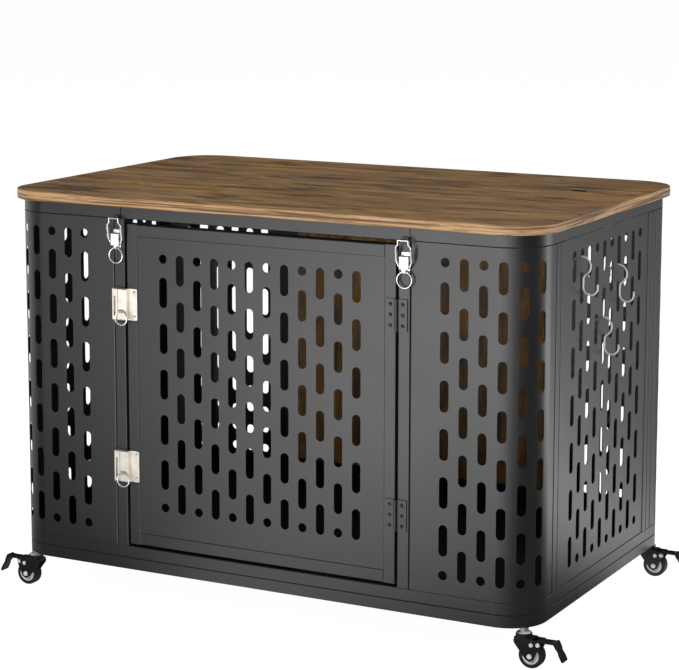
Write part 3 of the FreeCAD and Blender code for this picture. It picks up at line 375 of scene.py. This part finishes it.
wood_top, tree, shader, here, grain = board_material("rustic_top", (0, 0, 0))
upright = add_node(tree, "SeparateXYZ")
tree.links.new(here.outputs["Normal"], upright.inputs[0])
steep = add_node(tree, "Math", operation="ABSOLUTE")
tree.links.new(upright.outputs["Z"], steep.inputs[0])
on_rim = remap(tree, steep.outputs[0], 0.85, 0.45)
stripes = streaks(tree, here.outputs["Object"], (0.012, 0.012, 1.0), EDGE_STRIPES, 3.0, 0.6, 0.3)
flecks = streaks(tree, here.outputs["Object"], (1.0, 1.0, 9.0), 30.0, 3.0, 0.6, 0.0)
rim = mix_colours(tree, remap(tree, stripes, 0.42, 0.56), (0.125, 0.062, 0.026), (0.60, 0.36, 0.165))
rim = mix_colours(tree, remap(tree, flecks, 0.52, 0.66, 0.0, 0.5), rim, (0.18, 0.10, 0.045))
# Painted shade: faces that point down, under the board, are painted a dark flecked brown.
underside_shade_mask = remap(tree, upright.outputs["Z"], -0.6, -0.9)
face = mix_colours(tree, on_rim, grain.outputs["Color"], rim)
painted_underside_shade = mix_colours(tree, remap(tree, flecks, 0.40, 0.62), (0.055, 0.042, 0.033), (0.082, 0.062, 0.047))
face = mix_colours(tree, underside_shade_mask, face, painted_underside_shade)
tree.links.new(face, shader.inputs["Base Color"])
finish_nodes(["top_board"], wood_top)

wood_back, tree, shader, _, grain = board_material("rustic_back", (0, math.radians(90), 0))
# Painted light: the back board, deep inside the crate, is painted lighter.
painted_lighter = add_node(tree, "HueSaturation")
painted_lighter.inputs["Value"].default_value = BACK_PAINTED_LIGHT
painted_lighter.inputs["Saturation"].default_value = BACK_STRONGER
tree.links.new(grain.outputs["Color"], painted_lighter.inputs["Color"])
tree.links.new(painted_lighter.outputs[0], shader.inputs["Base Color"])
finish_nodes(["back_board"], wood_back)

# ---------------------------------------------------------------- plated hardware
# Slam latches and strikes are pressed steel in warm satin nickel; the toggle latches, rings, hooks,
# stems and screws are bright plated wire and plate.
PLATE_METALLIC = 0.8       # the clear passivate over the plating is a little milky
MILKY_METALLIC = 0.35      # and thicker on the hooks and caster rivets


def plated(name, tint, shade, gloss, brushed, metallic=PLATE_METALLIC):
    """Plated steel with fine brushed lines along Z and cloudy handling marks."""
    material, tree, shader = new_material(name)
    here = add_node(tree, "TexCoord")
    lines = streaks(tree, here.outputs["Object"], (30.0, 30.0, 1.0), 90.0, 3.0, 0.6, 0.0)
    clouds = streaks(tree, here.outputs["Object"], (1.0, 1.0, 1.0), 60.0, 4.0, 0.6, 0.5)
    tone = mix_colours(tree, remap(tree, clouds, 0.35, 0.7), tint, shade)
    tree.links.new(tone, shader.inputs["Base Color"])
    tree.links.new(remap(tree, clouds, 0.3, 0.7, *gloss), shader.inputs["Roughness"])
    shader.inputs["Metallic"].default_value = metallic
    bump(tree, shader, lines, brushed, 0.6)
    return material


satin_nickel = plated("satin_nickel", (0.96, 0.91, 0.82), (0.84, 0.78, 0.69), (0.30, 0.42), 0.00004)
hook_wire = plated("hook_wire", (0.97, 0.97, 0.96), (0.88, 0.88, 0.87), (0.30, 0.42), 0.00001,
                   MILKY_METALLIC)
bright_plate = plated("bright_plate", (0.97, 0.97, 0.95), (0.86, 0.86, 0.84), (0.16, 0.28), 0.00001)
finish_nodes([n for n in nodes if n.startswith(("slam_", "strike_"))], satin_nickel)
finish_nodes([n for n in nodes if n.startswith(("toggle_", "pull_ring"))
              or n in ("frame_bolts", "board_screws", "caster_stems")], bright_plate)
finish_nodes([n for n in nodes if n.startswith("hook_")], hook_wire)

# ---------------------------------------------------------------- casters
# Forks are pressed steel in gloss black, brake pedals black plated plate. The wheel is a pale plastic
# hub on a riveted axle, with a black rubber tyre. The table top's cable grommet is the pedals' black.
CASTERS = ("front_left", "front_right", "back_left", "back_right")

# On the forks and pedals, the third tone is the painted edge highlight too.
fork_black = painted("fork_black", (0.010, 0.010, 0.011), (0.014, 0.014, 0.015), (0.12, 0.12, 0.12),
                     (0.10, 0.18), 0.00003)
pedal_black = painted("pedal_black", (0.009, 0.009, 0.010), (0.013, 0.013, 0.014), (0.10, 0.10, 0.10),
                      (0.12, 0.22), 0.00003)
finish_nodes(["caster_fork_" + c for c in CASTERS], fork_black)
finish_nodes(["caster_brake_" + c for c in CASTERS] + ["cable_grommet"], pedal_black)


def moulded(name, dark, light, gloss, grain_size, depth):
    """Moulded plastic or rubber: fine grain, and a little dust in the tone."""
    material, tree, shader = new_material(name)
    skin = place_group(tree, coat_skin, Peel_size=grain_size, Patch_size=45.0)
    tone = mix_colours(tree, remap(tree, skin.outputs["Patch"], 0.35, 0.65), dark, light)
    tree.links.new(tone, shader.inputs["Base Color"])
    tree.links.new(remap(tree, skin.outputs["Patch"], 0.3, 0.7, *gloss), shader.inputs["Roughness"])
    bump(tree, shader, skin.outputs["Height"], depth)
    return material


hub_grey = moulded("hub_grey", (0.78, 0.78, 0.76), (0.88, 0.88, 0.86), (0.30, 0.42), 900.0, 0.00003)
tyre_rubber = moulded("tyre_rubber", (0.014, 0.014, 0.014), (0.028, 0.027, 0.026), (0.50, 0.66),
                      1100.0, 0.00008)
finish_nodes(["caster_wheel_" + c for c in CASTERS], hub_grey)
finish_nodes(["caster_tyre_" + c for c in CASTERS], tyre_rubber)

# ---------------------------------------------------------------- caster rivets and swivel rings
# Each fork is held together by bright rivets: a large one over the axle and two smaller ones at the
# top of each cheek. Two pressed rings seal the ball race under the stem's nut.
CHEEK_OUT = 0.012          # outer face of a cheek, from the middle of the wheel
# distance behind the swivel axis, height, radius, depth of head
RIVETS = ((0.0140, 0.0200, 0.0042, 0.0016), (0.0165, 0.0385, 0.0034, 0.0016),
          (0.0275, 0.0400, 0.0034, 0.0016))
RIVET_SIDES = 20
RACE_TOP = 0.0540
# radius, height of the top over the race
RACE_RINGS = ((0.0114, 0.0006), (0.0086, 0.0012))
RING_SIDES = 40
RING_T = 0.0008
SMOOTH_BELOW = math.radians(35)


def select_faces(piece, wanted):
    """Selects the faces that wanted(face) accepts, and leaves the piece in edit mode."""
    bpy.ops.object.mode_set(mode="EDIT")
    bpy.ops.mesh.select_mode(type="FACE")
    bpy.ops.mesh.select_all(action="DESELECT")
    bpy.ops.object.mode_set(mode="OBJECT")
    for face in piece.data.polygons:
        face.select = wanted(face)
    bpy.ops.object.mode_set(mode="EDIT")


def rivet_head(x, y, z, radius, height):
    """A domed head standing on the plane of y, facing away from the XZ plane."""
    outward = math.copysign(1.0, y)
    bpy.ops.object.select_all(action="DESELECT")
    bpy.ops.mesh.primitive_cylinder_add(vertices=RIVET_SIDES, radius=radius, depth=height,
                                        location=(x, y + outward * height / 2, z),
                                        rotation=(-outward * math.pi / 2, 0, 0))
    head = bpy.context.object
    bpy.ops.object.transform_apply(location=True, rotation=True, scale=True)
    select_faces(head, lambda face: face.normal.y * outward > 0.9)
    bpy.ops.mesh.bevel(offset=height * 0.85, segments=4, profile=0.6, affect="EDGES")
    bpy.ops.object.mode_set(mode="OBJECT")
    select_faces(head, lambda face: face.normal.y * outward > 0.99)
    bpy.ops.mesh.inset(thickness=radius * 0.22, depth=-height * 0.12)
    bpy.ops.object.mode_set(mode="OBJECT")
    return head


def race_ring(radius, lift):
    """A pressed ring on top of the race, round the swivel axis."""
    bpy.ops.object.select_all(action="DESELECT")
    bpy.ops.mesh.primitive_cylinder_add(vertices=RING_SIDES, radius=radius, depth=RING_T,
                                        location=(0, 0, RACE_TOP + lift - RING_T / 2))
    ring = bpy.context.object
    bpy.ops.object.transform_apply(location=True, rotation=True, scale=True)
    select_faces(ring, lambda face: face.normal.z > 0.9)
    bpy.ops.mesh.inset(thickness=0.0010, depth=0.0003)
    bpy.ops.mesh.inset(thickness=0.0012, depth=-0.0003)
    bpy.ops.object.mode_set(mode="OBJECT")
    return ring


rivet_plate = plated("rivet_plate", (0.97, 0.97, 0.96), (0.85, 0.85, 0.84), (0.22, 0.34), 0.00001,
                     MILKY_METALLIC)
fittings = []
for behind, z, radius, height in RIVETS:
    for side in (-1, 1):
        fittings.append(rivet_head(behind, side * CHEEK_OUT, z, radius, height))
for radius, lift in RACE_RINGS:
    fittings.append(race_ring(radius, lift))
bpy.ops.object.select_all(action="DESELECT")
for piece in fittings:
    piece.select_set(True)
bpy.context.view_layer.objects.active = fittings[0]
bpy.ops.object.join()
pattern = bpy.context.object
bpy.ops.object.shade_smooth_by_angle(angle=SMOOTH_BELOW)

for corner in CASTERS:
    joint = next(j for j in frame["joints"] if j["name"] == "caster_swivel_" + corner)
    swivel = joint["pos_m"]
    fitting = pattern.copy()
    fitting.data = pattern.data.copy()
    fitting.name = "caster_rivets_" + corner
    bpy.context.scene.collection.objects.link(fitting)
    bpy.ops.object.select_all(action="DESELECT")
    fitting.select_set(True)
    bpy.context.view_layer.objects.active = fitting
    fitting.location = (swivel[0], swivel[1], 0)
    fitting.rotation_euler = (0, 0, math.pi if swivel[0] < 0 else 0)
    bpy.ops.object.transform_apply(location=True, rotation=True, scale=True)
    fitting.data.materials.append(rivet_plate)
    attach(fitting, "caster_fork_" + corner)
bpy.data.objects.remove(pattern)

# ---------------------------------------------------------------- black strips of painted shade in the lid joint
# A black rubber-like strip runs inside the top edge of each front panel, 1.6 mm behind the sheet: painted
# shade put behind the joint under the lid, so that no light shows through it. It belongs to the cabin;
# nothing shows how it is held.
SHADE_STRIP_X = (0.272, 0.425)
SHADE_STRIP_Y = (-0.2969, -0.2890)
SHADE_STRIP_TOP = 0.64985
SHADE_STRIP_T = 0.0060
SHADE_STRIP_EDGE = 0.0012

joint_shade_black = moulded("joint_shade_black", (0.012, 0.012, 0.012), (0.022, 0.021, 0.020), (0.6, 0.8),
                        800.0, 0.0001)
# Painted shade: a black strip behind the lid joint, so that the joint reads dark.
for name, side in (("lid_shade_strip_left", -1), ("lid_shade_strip_right", 1)):
    middle = (side * sum(SHADE_STRIP_X) / 2, sum(SHADE_STRIP_Y) / 2, SHADE_STRIP_TOP - SHADE_STRIP_T / 2)
    bpy.ops.object.select_all(action="DESELECT")
    bpy.ops.mesh.primitive_cube_add(size=1, location=middle,
                                    scale=(SHADE_STRIP_X[1] - SHADE_STRIP_X[0], SHADE_STRIP_Y[1] - SHADE_STRIP_Y[0], SHADE_STRIP_T))
    strip = bpy.context.object
    bpy.ops.object.transform_apply(location=True, rotation=True, scale=True)
    bpy.ops.object.mode_set(mode="EDIT")
    bpy.ops.mesh.select_all(action="SELECT")
    bpy.ops.mesh.bevel(offset=SHADE_STRIP_EDGE, segments=3, affect="EDGES")
    bpy.ops.object.mode_set(mode="OBJECT")
    bpy.ops.object.shade_smooth_by_angle(angle=SMOOTH_BELOW)
    strip.name = name
    strip.data.materials.append(joint_shade_black)
    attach(strip, "cabin")
